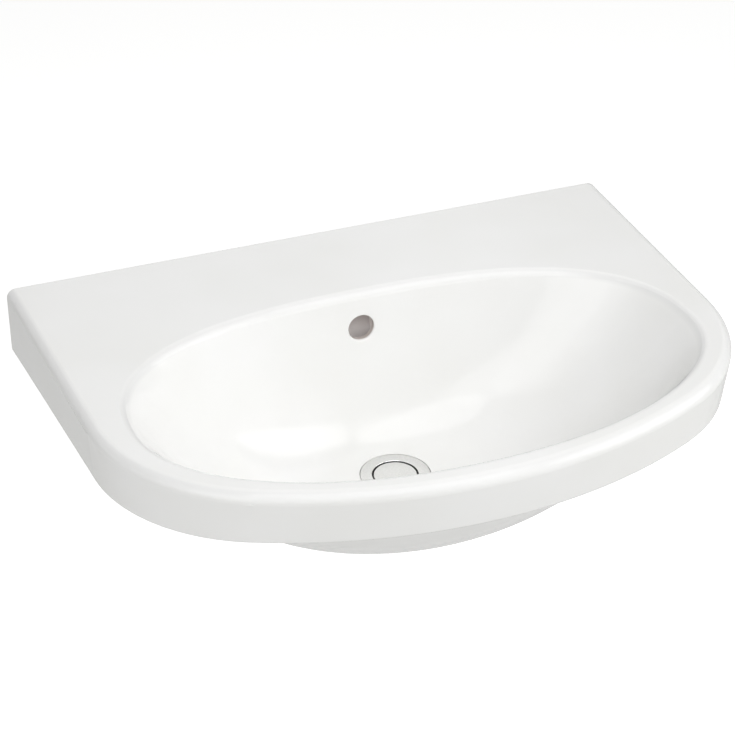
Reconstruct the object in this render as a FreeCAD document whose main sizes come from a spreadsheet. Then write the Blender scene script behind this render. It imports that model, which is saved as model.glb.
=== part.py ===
"""Wall hung basin: a vitreous china casting, its slotted push-down waste and its wall fixings.

Millimetres. X runs along the wall, Y points into the wall and Z is up. The origin is midway
between the two wall bolts, on the wall's face.
"""

import FreeCAD
import Part
import math
import os
import re
import Sketcher

NODE_FOLDER = "parts"

# Driving dimensions, in millimetres and degrees.
SIZES = {
    # the casting's outline, seen from above
    "basin_width": 600,
    "basin_depth": 440,
    "side_taper": 1.8,
    "corner_radius": 169,
    "front_radius": 455,
    # the apron that hangs round the sides and the front
    "rim_above_bolts": 95,
    "apron_height_back": 65,
    "apron_height_front": 50,
    "apron_draft": 9,
    "foot_taper": 2.8,
    "outer_roll": 9,
    "back_edge_roll": 2,
    "foot_roll": 3,
    # the thickness of the clay round the hollow underside
    "shelf_thickness": 12,
    "apron_wall": 11,
    "back_wall": 14,
    "panel_width": 380,
    "panel_drop": 130,
    "panel_corner": 25,
    # the bowl
    "side_rim": 40,
    "front_rim": 24,
    "mouth_rear": 125,
    "mouth_roll": 8,
    "bowl_depth": 146.5,
    "bowl_wall": 11,
    "waste_from_wall": 209.5,
    "sump_radius": 36,
    # the overflow and its duct inside the clay
    "overflow_diameter": 25,
    "overflow_below_rim": 37.5,
    "overflow_roll": 1.5,
    "duct_front_wall": 6,
    "duct_depth": 10,
    "duct_back_wall": 8,
    "duct_width": 28,
    "duct_side_wall": 9,
    "duct_above_hole": 3,
    "chamber_radius": 30,
    "chamber_below_sump": 14,
    "chamber_height": 16,
    # the seat for the waste
    "boss_radius": 42,
    "waste_hole_diameter": 46,
    "clamp_height": 34,
    "recess_gap": 0.4,
    # the waste
    "flange_diameter": 65,
    "flange_thickness": 3,
    "flange_edge_roll": 1,
    "flange_seal_thickness": 2,
    "neck_gap": 0.3,
    "neck_foot": 10,
    "waste_thread_diameter": 41.91,
    "waste_bore": 37.6,
    "waste_length": 72,
    "thread_chamfer": 1.2,
    "thread_relief_width": 2.5,
    "thread_relief_depth": 0.9,
    "throat_diameter": 43,
    "throat_depth": 4,
    "throat_cone": 4,
    "slot_width": 12,
    "slot_height": 13,
    "slot_below_flange": 15.5,
    "spider_below_flange": 50,
    "spider_height": 5,
    "spider_arm": 3.5,
    "spider_boss_diameter": 15,
    # what clamps the waste from below
    "thread_gap": 0.3,
    "basin_seal_diameter": 66,
    "basin_seal_thickness": 6,
    "basin_seal_nose": 3,
    "clamp_washer_diameter": 62,
    "clamp_washer_thickness": 2,
    "waste_nut_width": 54,
    "waste_nut_height": 9,
    "waste_nut_flange": 2.5,
    "waste_nut_setback": 0.5,
    "nut_thread_gap": 0.05,
    # the plug and its latch
    "plug_diameter": 40,
    "plug_thickness": 3.2,
    "plug_chamfer": 0.8,
    "plug_hub_diameter": 12,
    "plug_hub_length": 5,
    "plug_lift": 7,
    "plug_seal_diameter": 41.2,
    "plug_seal_thickness": 3,
    "plug_seal_taper": 1.2,
    "stem_diameter": 6,
    "stem_spigot_diameter": 5,
    "stem_spigot_length": 3.2,
    "stem_tail_diameter": 4,
    "collar_diameter": 9.2,
    "collar_thickness": 2.5,
    "running_gap": 0.05,
    "cam_height": 5,
    "cam_tooth": 1.5,
    "sleeve_diameter": 13,
    "sleeve_bore": 10,
    "sleeve_floor": 4.5,
    "latch_cap_diameter": 15,
    "latch_cap_height": 4,
    "latch_cap_spigot": 2,
    "under_hub_space": 2,
    "spring_wire": 0.8,
    "spring_diameter": 8,
    "spring_turns": 6,
    "spring_gap": 0.3,
    "screw_diameter": 4,
    "screw_hole_gap": 0.1,
    "screw_head_diameter": 7,
    "screw_head_height": 2.4,
    "screw_recess": 2.2,
    # the wall fixings
    "bolt_pitch": 280,
    "bolt_hole_diameter": 16,
    "stud_diameter": 10,
    "stud_thread_diameter": 9.85,
    "stud_in_wall": 60,
    "stud_tip": 12,
    "stud_out_of_wall": 36,
    "stud_chamfer": 1.2,
    "sleeve_wall_gap": 0.3,
    "bolt_sleeve_flange_diameter": 26,
    "bolt_sleeve_flange": 3,
    "bolt_washer_diameter": 24,
    "bolt_washer_thickness": 2,
    "bolt_nut_width": 17,
    "bolt_nut_height": 8,
    "nut_cover_diameter": 24,
    "nut_cover_wall": 1.4,
    "nut_cover_end_gap": 1.5,
}

# How the bowl's walls fall from the mouth to the sump: each wall follows
# (1 - depth ** fall) ** (1 / rounding), from 1 at the mouth to 0 at the sump.
SHAPES = {
    "side_fall": 0.8,
    "side_rounding": 2.7,
    "front_fall": 1.1,
    "front_rounding": 2.75,
    "rear_fall": 2.6,
    "rear_rounding": 1.8,
    "front_squareness": 2.1,
    "rear_squareness": 2.5,
    "sump_squareness": 2.0,
}

# The bowl's mouth, left open inside the rim, as expressions.
MOUTH_HALF_WIDTH = "(basin_width / 2 - side_rim)"
MOUTH_FRONT = "(basin_depth - front_rim)"

# Heights on the waste's axis, measured from the top of its flange, as expressions.
SEAL_TOP = "-flange_thickness"
SEAT = f"({SEAL_TOP} - flange_seal_thickness)"
CHAMBER_TOP = "-chamber_below_sump"
BOSS_FOOT = f"({SEAT} - clamp_height)"
WASHER_TOP = f"({BOSS_FOOT} - basin_seal_thickness)"
NUT_TOP = f"({WASHER_TOP} - clamp_washer_thickness)"
NUT_FOOT = f"({NUT_TOP} - waste_nut_height)"
SPIDER_TOP = "-spider_below_flange"
SPIDER_FOOT = f"({SPIDER_TOP} - spider_height)"
HUB_FOOT = "(-plug_thickness - plug_hub_length)"
LATCH_CAP_TOP = f"({HUB_FOOT} - under_hub_space)"
SLEEVE_TOP = f"({LATCH_CAP_TOP} - latch_cap_height + latch_cap_spigot)"
CAP_FOOT = f"({LATCH_CAP_TOP} - latch_cap_height)"
COLLAR_TOP = f"({CAP_FOOT} - plug_lift - running_gap * 10)"
COLLAR_FOOT = f"({COLLAR_TOP} - collar_thickness)"
CAM_FOOT = f"({COLLAR_FOOT} - cam_height)"
SLEEVE_FLOOR_TOP = f"({SPIDER_TOP} + sleeve_floor)"

# Distances from the wall along a wall bolt, as expressions.
SLEEVE_FACE = "(back_wall + bolt_sleeve_flange)"
WASHER_FACE = f"({SLEEVE_FACE} + bolt_washer_thickness)"

doc = FreeCAD.newDocument("wall_hung_basin")
nodes = []


# ---------------------------------------------------------------- helpers

def fill_sheet():
    """Put every driving dimension in its own cell, with its name as the alias."""
    sheet = doc.addObject("Spreadsheet::Sheet", "sizes")
    for row, (name, size) in enumerate({**SIZES, **SHAPES}.items(), start=1):
        sheet.set(f"A{row}", name)
        sheet.set(f"B{row}", str(size))
        sheet.setAlias(f"B{row}", name)
    doc.recompute()
    return sheet


def qualified(expression):
    """Point every size named in an expression at its cell."""
    return re.sub(
        r"[a-z]+(?:_[a-z]+)+",
        lambda word: "sizes." + word.group(0),
        str(expression),
    )


def value(expression):
    """Work out an expression of named sizes as a number."""
    result = sheet.evalExpression(qualified(f"0 + {expression}"))
    return float(getattr(result, "Value", result))


def bind(thing, target, expression):
    thing.setExpression(target, qualified(expression))


def origin_plane(body, role):
    return next(plane for plane in body.Origin.OriginFeatures if plane.Role == role)


def new_body(label):
    body = doc.addObject("PartDesign::Body", label)
    body.Label = label
    return body


def new_sketch(body, name, role, offset="0"):
    """Attach a sketch to one of the body's own origin planes, offset along its normal."""
    sketch = body.newObject("Sketcher::SketchObject", name)
    sketch.AttachmentSupport = [(origin_plane(body, role), "")]
    sketch.MapMode = "FlatFace"
    if offset != "0":
        bind(sketch, "AttachmentOffset.Base.z", offset)
    return sketch


def fix_point(sketch, geometry, end, x, y):
    """Hold one end of a curve at a place worked out from the sizes."""
    for kind, place in (("DistanceX", x), ("DistanceY", y)):
        rule = Sketcher.Constraint(kind, -1, 1, geometry, end, value(place))
        bind(sketch, f"Constraints[{sketch.addConstraint(rule)}]", place)


def add_polygon(sketch, corners):
    """Close a loop of straight lines through corners given as pairs of expressions."""
    places = [FreeCAD.Vector(value(x), value(y), 0) for x, y in corners]
    first = sketch.GeometryCount
    count = len(corners)
    for index in range(count):
        line = Part.LineSegment(places[index], places[(index + 1) % count])
        sketch.addGeometry(line)
    for index in range(count):
        following = first + (index + 1) % count
        sketch.addConstraint(Sketcher.Constraint("Coincident", first + index, 2, following, 1))
    for index, (x, y) in enumerate(corners):
        fix_point(sketch, first + index, 1, x, y)


def add_circle(sketch, radius, x="0", y="0"):
    centre = FreeCAD.Vector(value(x), value(y), 0)
    circle = sketch.addGeometry(Part.Circle(centre, FreeCAD.Vector(0, 0, 1), value(radius)))
    fix_point(sketch, circle, 3, x, y)
    rule = Sketcher.Constraint("Radius", circle, value(radius))
    bind(sketch, f"Constraints[{sketch.addConstraint(rule)}]", radius)


def add_hexagon(sketch, width_across_flats):
    corner_radius = f"{width_across_flats} / sqrt(3)"
    corners = []
    for turn in range(0, 360, 60):
        corners.append((f"{corner_radius} * cos({turn}deg)", f"{corner_radius} * sin({turn}deg)"))
    add_polygon(sketch, corners)


def add_rectangle(sketch, left, low, right, high):
    add_polygon(sketch, [(left, low), (right, low), (right, high), (left, high)])


def revolve(body, name, corners):
    """Turn a half section, given as (radius, height) corners, about the body's Z axis."""
    sketch = new_sketch(body, name + "_section", "XZ_Plane")
    add_polygon(sketch, corners)
    turned = body.newObject("PartDesign::Revolution", name)
    turned.Profile = sketch
    turned.ReferenceAxis = (sketch, ["V_Axis"])
    turned.Angle = 360
    return turned


def pad(body, sketch, name, length, midplane=False, downwards=False):
    block = body.newObject("PartDesign::Pad", name)
    block.Profile = sketch
    block.Midplane = midplane
    block.Reversed = downwards
    bind(block, "Length", length)
    return block


def cut_through(body, sketch, name):
    """Cut a sketch's outline right through the body, to both sides of its plane."""
    pocket = body.newObject("PartDesign::Pocket", name)
    pocket.Profile = sketch
    pocket.Type = "ThroughAll"
    pocket.Midplane = True
    return pocket


def cut_to_depth(body, sketch, name, depth, upwards=False):
    """Cut a sketch's outline to a depth, downwards or upwards from its plane."""
    pocket = body.newObject("PartDesign::Pocket", name)
    pocket.Profile = sketch
    pocket.Reversed = upwards
    bind(pocket, "Length", depth)
    return pocket


def edges_where(shape, test):
    """Name the edges whose middle point passes a test."""
    chosen = []
    for number, edge in enumerate(shape.Edges, start=1):
        middle = edge.valueAt((edge.FirstParameter + edge.LastParameter) / 2)
        if test(edge, middle):
            chosen.append(f"Edge{number}")
    return chosen


def round_edges(body, name, radius, test):
    """Round the edges of the body's last feature that pass a test."""
    doc.recompute()
    last = body.Tip
    fillet = body.newObject("PartDesign::Fillet", name)
    fillet.Base = (last, edges_where(last.Shape, test))
    bind(fillet, "Radius", radius)
    return fillet


def chamfer_edges(body, name, size, test):
    doc.recompute()
    last = body.Tip
    chamfer = body.newObject("PartDesign::Chamfer", name)
    chamfer.Base = (last, edges_where(last.Shape, test))
    bind(chamfer, "Size", size)
    return chamfer


def place_on_waste(thing):
    """Stand a piece on the waste's axis, with its zero at the top of the flange."""
    bind(thing, "Placement.Base.y", "-waste_from_wall")
    bind(thing, "Placement.Base.z", "rim_above_bolts - bowl_depth")
    nodes.append(thing)


def place_on_bolt(thing, side):
    """Lay a piece on a wall bolt's axis, with its Z pointing away from the wall."""
    thing.Placement = FreeCAD.Placement(
        FreeCAD.Vector(), FreeCAD.Rotation(FreeCAD.Vector(1, 0, 0), 90)
    )
    bind(thing, "Placement.Base.x", f"{side} * bolt_pitch / 2")
    nodes.append(thing)


def shape_feature(label, shape):
    feature = doc.addObject("Part::Feature", label)
    feature.Label = label
    feature.Shape = shape
    return feature


# ---------------------------------------------------------------- the china casting

def outline_places(half_width, depth, taper, corner, front, back):
    """Find the tangent points of the plan outline: tapered sides, round corners, round front."""
    inward = FreeCAD.Vector(-math.cos(taper), math.sin(taper), 0)
    along = FreeCAD.Vector(-math.sin(taper), -math.cos(taper), 0)
    start = FreeCAD.Vector(half_width, -back, 0)
    front_centre = FreeCAD.Vector(0, front - depth, 0)
    reach = start + inward * corner - front_centre
    half_b = reach.dot(along)
    run = -half_b + math.sqrt(half_b**2 - reach.dot(reach) + (front - corner) ** 2)
    corner_centre = front_centre + reach + along * run
    outward = (corner_centre - front_centre).normalize()
    side_end = corner_centre - inward * corner
    corner_end = front_centre + outward * front
    return start, side_end, corner_centre, corner_end, front_centre


def mirrored(point):
    return FreeCAD.Vector(-point.x, point.y, point.z)


def add_outline(sketch, half_width, depth, taper, corner, front, back="0"):
    """Draw the plan outline: a back line, two tapered sides, two corner arcs and a front arc."""
    sizes = [value(size) for size in (half_width, depth, taper, corner, front, back)]
    sizes[2] = math.radians(sizes[2])
    start, side_end, corner_centre, corner_end, front_centre = outline_places(*sizes)
    up = FreeCAD.Vector(0, 0, 1)

    def arc(centre, radius, first, last):
        angles = [math.atan2(point.y - centre.y, point.x - centre.x) for point in (first, last)]
        return Part.ArcOfCircle(Part.Circle(centre, up, radius), *angles)

    back_line = sketch.addGeometry(Part.LineSegment(mirrored(start), start))
    right_side = sketch.addGeometry(Part.LineSegment(start, side_end))
    left_side = sketch.addGeometry(Part.LineSegment(mirrored(start), mirrored(side_end)))
    right_corner = sketch.addGeometry(arc(corner_centre, sizes[3], corner_end, side_end))
    left_corner = sketch.addGeometry(
        arc(mirrored(corner_centre), sizes[3], mirrored(side_end), mirrored(corner_end))
    )
    front_arc = sketch.addGeometry(
        arc(front_centre, sizes[4], mirrored(corner_end), corner_end)
    )
    for rule in (
        ("Coincident", back_line, 2, right_side, 1),
        ("Coincident", back_line, 1, left_side, 1),
        ("Tangent", right_side, 2, right_corner, 2),
        ("Tangent", left_side, 2, left_corner, 1),
        ("Tangent", right_corner, 1, front_arc, 2),
        ("Tangent", left_corner, 2, front_arc, 1),
        ("Symmetric", back_line, 1, back_line, 2, -2),
        ("Symmetric", right_side, 2, left_side, 2, -2),
        ("PointOnObject", front_arc, 3, -2),
    ):
        sketch.addConstraint(Sketcher.Constraint(*rule))
    fix_point(sketch, right_side, 1, half_width, f"-({back})")
    for rule, expression in (
        (("Angle", back_line, 2, right_side, 1, math.pi / 2 - sizes[2]), f"90deg - 1deg * {taper}"),
        (("Radius", right_corner, sizes[3]), corner),
        (("Radius", front_arc, sizes[4]), front),
        (("DistanceY", -1, 1, front_arc, 3, sizes[4] - sizes[1]), f"{front} - ({depth})"),
    ):
        number = sketch.addConstraint(Sketcher.Constraint(*rule))
        bind(sketch, f"Constraints[{number}]", expression)


def outline_sketches(body, name, inset, top, back="0"):
    """Draw the outline at a top level and at the apron's foot, drawn in by an inset."""
    upper = new_sketch(body, name + "_top", "XY_Plane", top)
    lower = new_sketch(body, name + "_foot", "XY_Plane", "rim_above_bolts - apron_height_back")
    half_width = f"basin_width / 2 - ({inset})"
    above_roll = "apron_draft * outer_roll / apron_height_back"
    add_outline(
        upper, half_width, f"basin_depth + {above_roll} - ({inset})", "side_taper",
        f"corner_radius - ({inset})", f"front_radius - ({inset})", back,
    )
    add_outline(
        lower, half_width, f"basin_depth - ({inset}) - apron_draft", "foot_taper",
        f"corner_radius - ({inset}) - apron_draft", f"front_radius - ({inset}) - apron_draft",
        back,
    )
    return upper, lower


def casting_block():
    """The slab with its apron, hollow below, and the panel that hangs on the wall."""
    body = new_body("casting_block")
    rim = "rim_above_bolts"
    upper, lower = outline_sketches(body, "outline", "0", rim)
    block = body.newObject("PartDesign::AdditiveLoft", "outer_form")
    block.Profile = upper
    block.Sections = [lower]
    block.Ruled = True

    slope = new_sketch(body, "apron_slope", "YZ_Plane")
    low = f"{rim} - apron_height_back - apron_draft"
    rise = "(apron_height_back - apron_height_front) / basin_depth"
    reach = "basin_depth + apron_draft"
    add_polygon(slope, [
        ("0", f"{rim} - apron_height_back"),
        ("0", low),
        (f"-({reach})", low),
        (f"-({reach})", f"{rim} - apron_height_back + {rise} * ({reach})"),
    ])
    cut_through(body, slope, "sloping_foot")

    rim_z = value(rim)
    width = value("basin_width")
    round_edges(
        body, "outer_edge_roll", "outer_roll",
        lambda edge, middle: abs(middle.z - rim_z) < 0.01 and middle.y < -1,
    )
    round_edges(
        body, "back_edge_round", "back_edge_roll",
        lambda edge, middle: abs(middle.z - rim_z) < 0.01 and middle.y > -0.01,
    )
    round_edges(
        body, "foot_edge_roll", "foot_roll",
        lambda edge, middle: middle.z < rim_z - value("apron_height_front") + 1
        and middle.y < -1 and edge.Length > width / 10,
    )

    upper, lower = outline_sketches(
        body, "hollow", "apron_wall", f"{rim} - shelf_thickness", "back_wall"
    )
    hollow = body.newObject("PartDesign::SubtractiveLoft", "hollow_underside")
    hollow.Profile = upper
    hollow.Sections = [lower]
    hollow.Ruled = True

    panel = new_sketch(body, "wall_panel_outline", "XZ_Plane")
    half = "panel_width / 2"
    top = f"{rim} - shelf_thickness"
    foot = f"{rim} - panel_drop"
    add_rectangle(panel, f"-{half}", foot, half, top)
    pad(body, panel, "wall_panel", "back_wall")
    foot_z = value(foot)
    round_edges(
        body, "panel_corner_round", "panel_corner",
        lambda edge, middle: abs(middle.z - foot_z) < 0.01 and abs(middle.x) > value(half) - 0.01,
    )
    doc.recompute()
    return body


def wall_reach(depth_share, mouth, sump, fall, rounding):
    """How far a bowl wall lies from the waste's axis at a share of the bowl's depth."""
    left = max(0.0, 1 - depth_share**fall)
    return sump + (mouth - sump) * left ** (1 / rounding)


def bowl_reaches(depth_share):
    """The bowl's half width and its reach to the front and to the rear of the waste."""
    sump = value("sump_radius")
    axis = value("waste_from_wall")
    mouths = {
        "side": value(MOUTH_HALF_WIDTH),
        "front": value(MOUTH_FRONT) - axis,
        "rear": axis - value("mouth_rear"),
    }
    return [
        wall_reach(depth_share, mouths[wall], sump, value(f"{wall}_fall"), value(f"{wall}_rounding"))
        for wall in ("side", "front", "rear")
    ]


def bowl_section(depth_share, height, grown):
    """One level curve of the bowl: a superellipse, fuller at the mouth than at the sump."""
    side, front, rear = (reach + grown for reach in bowl_reaches(depth_share))
    middle = -value("waste_from_wall") + (rear - front) / 2
    half_depth = (front + rear) / 2
    points = []
    steps = 48
    for step in range(steps):
        turn = 2 * math.pi * step / steps
        across, along = math.cos(turn), math.sin(turn)
        squareness = value("rear_squareness" if along > 0 else "front_squareness")
        squareness += (value("sump_squareness") - squareness) * depth_share
        x = side * math.copysign(abs(across) ** (2 / squareness), across)
        y = half_depth * math.copysign(abs(along) ** (2 / squareness), along)
        points.append(FreeCAD.Vector(x, middle + y, height))
    curve = Part.BSplineCurve()
    curve.interpolate(points, PeriodicFlag=True)
    return Part.Wire(curve.toShape())


def bowl_form(grown, first_depth):
    """The bowl as a solid, grown outwards and downwards by a wall's thickness."""
    rim = value("rim_above_bolts")
    depth = value("bowl_depth") + grown
    first_share = first_depth / depth
    levels = 12
    wires = []
    for level in range(levels + 1):
        share = (1 - math.cos(math.pi * level / levels)) / 2
        share = first_share + (1 - first_share) * share
        wires.append(bowl_section(share, rim - share * depth, grown))
    return Part.makeLoft(wires, True, False)


def rear_wall_curve(offset, first_depth, last_depth):
    """The line of the bowl's rear wall in the middle plane, moved back by an offset."""
    rim = value("rim_above_bolts")
    axis = value("waste_from_wall")
    points = []
    steps = 6
    for step in range(steps + 1):
        depth = first_depth + (last_depth - first_depth) * step / steps
        rear = bowl_reaches(depth / value("bowl_depth"))[2]
        points.append(FreeCAD.Vector(0, rear - axis + offset, rim - depth))
    curve = Part.BSplineCurve()
    curve.interpolate(points)
    return curve.toShape()


def duct_form(front_offset, back_offset, first_depth, top, foot, back_foot, half_width):
    """A duct that follows the rear wall down and turns forward under the sump."""
    turn_depth = value("bowl_depth") * 0.8
    axis = -value("waste_from_wall")
    front = rear_wall_curve(front_offset, first_depth, turn_depth)
    back = rear_wall_curve(back_offset, first_depth, turn_depth)
    under_sump = value("chamber_radius") + value("duct_depth")
    corners = [
        front.Vertexes[-1].Point,
        FreeCAD.Vector(0, axis + under_sump, top),
        FreeCAD.Vector(0, axis, top),
        FreeCAD.Vector(0, axis, foot),
        FreeCAD.Vector(0, back_foot, foot),
        back.Vertexes[-1].Point,
    ]
    edges = [front]
    for first, last in zip(corners, corners[1:]):
        edges.append(Part.makeLine(first, last))
    edges.append(back)
    edges.append(Part.makeLine(back.Vertexes[0].Point, front.Vertexes[0].Point))
    face = Part.Face(Part.Wire(Part.__sortEdges__(edges)))
    face.translate(FreeCAD.Vector(-half_width, 0, 0))
    return face.extrude(FreeCAD.Vector(2 * half_width, 0, 0))


def overflow_duct():
    """The passage from the overflow hole to the chamber round the waste."""
    sump = value("rim_above_bolts - bowl_depth")
    front = value("duct_front_wall")
    return duct_form(
        front, front + value("duct_depth"),
        value("overflow_below_rim - overflow_diameter / 2 - duct_above_hole"),
        sump + value(CHAMBER_TOP),
        sump + value(f"{CHAMBER_TOP} - chamber_height"),
        -value("waste_from_wall - chamber_radius - duct_depth * 2"),
        value("duct_width / 2"),
    )


def overflow_rib():
    """The clay round that passage, behind and below the bowl."""
    sump = value("rim_above_bolts - bowl_depth")
    return duct_form(
        0, value("duct_front_wall + duct_depth + duct_back_wall"),
        value("shelf_thickness / 2"),
        sump,
        sump + value(BOSS_FOOT),
        -value("waste_from_wall - chamber_radius - duct_depth * 2 - duct_back_wall"),
        value("duct_width / 2 + duct_side_wall"),
    )


def cylinder(label, radius, height, foot_z="0", axis=(0, 0, 1), x="0", y="0"):
    """A round solid with every size bound, standing up or lying along Y."""
    solid = doc.addObject("Part::Cylinder", label)
    bind(solid, "Radius", radius)
    bind(solid, "Height", height)
    up = FreeCAD.Vector(0, 0, 1)
    solid.Placement = FreeCAD.Placement(
        FreeCAD.Vector(), FreeCAD.Rotation(up, FreeCAD.Vector(*axis))
    )
    bind(solid, "Placement.Base.x", x)
    bind(solid, "Placement.Base.y", y)
    bind(solid, "Placement.Base.z", foot_z)
    return solid


def joined(label, solids):
    fuse = doc.addObject("Part::MultiFuse", label)
    fuse.Shapes = solids
    fuse.Refine = False
    return fuse


def cut_away(label, base, tool):
    cut = doc.addObject("Part::Cut", label)
    cut.Base = base
    cut.Tool = tool
    cut.Refine = False
    return cut


def rolled(label, base, radius, test):
    """Round the edges of a solid that pass a test."""
    doc.recompute()
    fillet = doc.addObject("Part::Fillet", label)
    fillet.Base = base
    size = value(radius)
    names = edges_where(base.Shape, test)
    fillet.Edges = [(int(name[4:]), size, size) for name in names]
    return fillet


def make_basin():
    """The casting: slab and apron, bowl, overflow passage, waste seat and bolt holes."""
    axis = "-waste_from_wall"
    sump = "rim_above_bolts - bowl_depth"
    shell = shape_feature("bowl_shell", bowl_form(value("bowl_wall"), value("shelf_thickness / 2")))
    rib = shape_feature("overflow_rib", overflow_rib())
    boss = cylinder(
        "waste_boss", "boss_radius", "clamp_height", f"{sump} + {BOSS_FOOT}", y=axis
    )
    clay = joined("clay", [casting_block(), shell, rib, boss])

    cavity = shape_feature("bowl_cavity", bowl_form(0, 0))
    open_bowl = cut_away("open_bowl", clay, cavity)
    rim_z = value("rim_above_bolts")
    rear, front = -value("mouth_rear"), -value(MOUTH_FRONT)
    search_gap = value("mouth_roll / 8")
    with_mouth = rolled(
        "rolled_mouth", open_bowl, "mouth_roll",
        lambda edge, middle: abs(middle.z - rim_z) < 0.01
        and front - search_gap < middle.y < rear + search_gap and len(edge.Vertexes) < 3
        and edge.BoundBox.YMax < rear + search_gap and edge.BoundBox.YMin > front - search_gap,
    )

    passages = joined("passages", [
        shape_feature("overflow_duct", overflow_duct()),
        cylinder(
            "flange_recess", "flange_diameter / 2 + recess_gap",
            "bowl_depth / 2", f"{sump} + {SEAT}", y=axis,
        ),
        cylinder(
            "waste_hole", "waste_hole_diameter / 2", "bowl_depth / 2",
            f"{sump} + {BOSS_FOOT} - 1", y=axis,
        ),
        cylinder(
            "waste_chamber", "chamber_radius", "chamber_height",
            f"{sump} + {CHAMBER_TOP} - chamber_height", y=axis,
        ),
        cylinder(
            "overflow_hole", "overflow_diameter / 2",
            "duct_front_wall + mouth_roll * 2",
            "rim_above_bolts - overflow_below_rim", (0, -1, 0),
            y="-mouth_rear + duct_front_wall",
        ),
        cylinder("bolt_hole_left", "bolt_hole_diameter / 2", "back_wall * 2", "0", (0, -1, 0),
                 x="-bolt_pitch / 2", y="back_wall / 2"),
        cylinder("bolt_hole_right", "bolt_hole_diameter / 2", "back_wall * 2", "0", (0, -1, 0),
                 x="bolt_pitch / 2", y="back_wall / 2"),
    ])
    pierced = cut_away("pierced_casting", with_mouth, passages)
    hole_z = value("rim_above_bolts - overflow_below_rim")
    radius = value("overflow_diameter / 2")
    duct_y = value("duct_front_wall") - value("mouth_rear")
    basin = rolled(
        "basin", pierced, "overflow_roll",
        lambda edge, middle: abs(math.hypot(middle.x, middle.z - hole_z) - radius) < 0.05
        and abs(edge.Length - 2 * math.pi * radius) < radius
        and middle.y < duct_y - value("duct_front_wall / 2"),
    )
    basin.Label = "basin"
    nodes.append(basin)


# ---------------------------------------------------------------- the waste

def make_waste_body():
    """Flange, slotted threaded barrel and the cross bars that carry the latch.

    A groove parts the clamping nut's thread from the thread that the trap takes.
    """
    body = new_body("waste_body")
    flange = "flange_diameter / 2"
    neck = "(waste_hole_diameter / 2 - neck_gap)"
    outer = "waste_thread_diameter / 2"
    bore = "waste_bore / 2"
    throat = "throat_diameter / 2"
    cone_foot = "(-throat_depth - throat_cone)"
    relief = f"({outer} - thread_relief_depth)"
    revolve(body, "turned_form", [
        (throat, "0"),
        (f"{flange} - flange_edge_roll", "0"),
        (flange, "-flange_edge_roll"),
        (flange, SEAL_TOP),
        (neck, SEAL_TOP),
        (neck, "-neck_foot"),
        (outer, "-neck_foot"),
        (outer, NUT_FOOT),
        (relief, NUT_FOOT),
        (relief, f"{NUT_FOOT} - thread_relief_width"),
        (outer, f"{NUT_FOOT} - thread_relief_width"),
        (outer, "-waste_length + thread_chamfer"),
        (f"{outer} - thread_chamfer", "-waste_length"),
        (bore, "-waste_length"),
        (bore, cone_foot),
        (throat, "-throat_depth"),
    ])
    for role in ("XZ_Plane", "YZ_Plane"):
        slots = new_sketch(body, "slots_" + role[:2], role)
        high = "-slot_below_flange"
        add_rectangle(slots, "-slot_width / 2", f"{high} - slot_height", "slot_width / 2", high)
        cut_through(body, slots, "overflow_slots_" + role[:2])

    arm = "spider_arm / 2"
    reach = f"({bore} + {outer}) / 2"
    bars = new_sketch(body, "cross_bars_outline", "XY_Plane", SPIDER_FOOT)
    add_polygon(bars, [
        (arm, arm), (arm, reach), (f"-{arm}", reach), (f"-{arm}", arm),
        (f"-({reach})", arm), (f"-({reach})", f"-{arm}"), (f"-{arm}", f"-{arm}"),
        (f"-{arm}", f"-({reach})"), (arm, f"-({reach})"), (arm, f"-{arm}"),
        (reach, f"-{arm}"), (reach, arm),
    ])
    pad(body, bars, "cross_bars", "spider_height")
    boss = new_sketch(body, "boss_outline", "XY_Plane", SPIDER_FOOT)
    add_circle(boss, "spider_boss_diameter / 2")
    pad(body, boss, "latch_boss", "spider_height")
    hole = new_sketch(body, "screw_hole_outline", "XY_Plane", SPIDER_TOP)
    add_circle(hole, "screw_diameter / 2 + screw_hole_gap")
    cut_to_depth(body, hole, "screw_hole", "spider_height")
    place_on_waste(body)


def make_ring(label, bore_radius, outer_radius, foot, top):
    """A flat ring on the waste's axis."""
    body = new_body(label)
    revolve(body, label + "_ring", [
        (bore_radius, foot), (outer_radius, foot), (outer_radius, top), (bore_radius, top),
    ])
    place_on_waste(body)
    return body


def make_basin_seal():
    """The rubber below the basin, with a tapered nose that enters the waste hole."""
    body = new_body("basin_seal")
    bore = "waste_thread_diameter / 2 + thread_gap"
    nose = "waste_hole_diameter / 2 - thread_gap"
    outer = "basin_seal_diameter / 2"
    revolve(body, "seal_ring", [
        (bore, WASHER_TOP),
        (f"{outer} - basin_seal_thickness / 3", WASHER_TOP),
        (outer, f"{WASHER_TOP} + basin_seal_thickness / 3"),
        (outer, BOSS_FOOT),
        (nose, BOSS_FOOT),
        (f"{nose} - thread_gap", f"{BOSS_FOOT} + basin_seal_nose"),
        (bore, f"{BOSS_FOOT} + basin_seal_nose"),
    ])
    place_on_waste(body)


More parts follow.
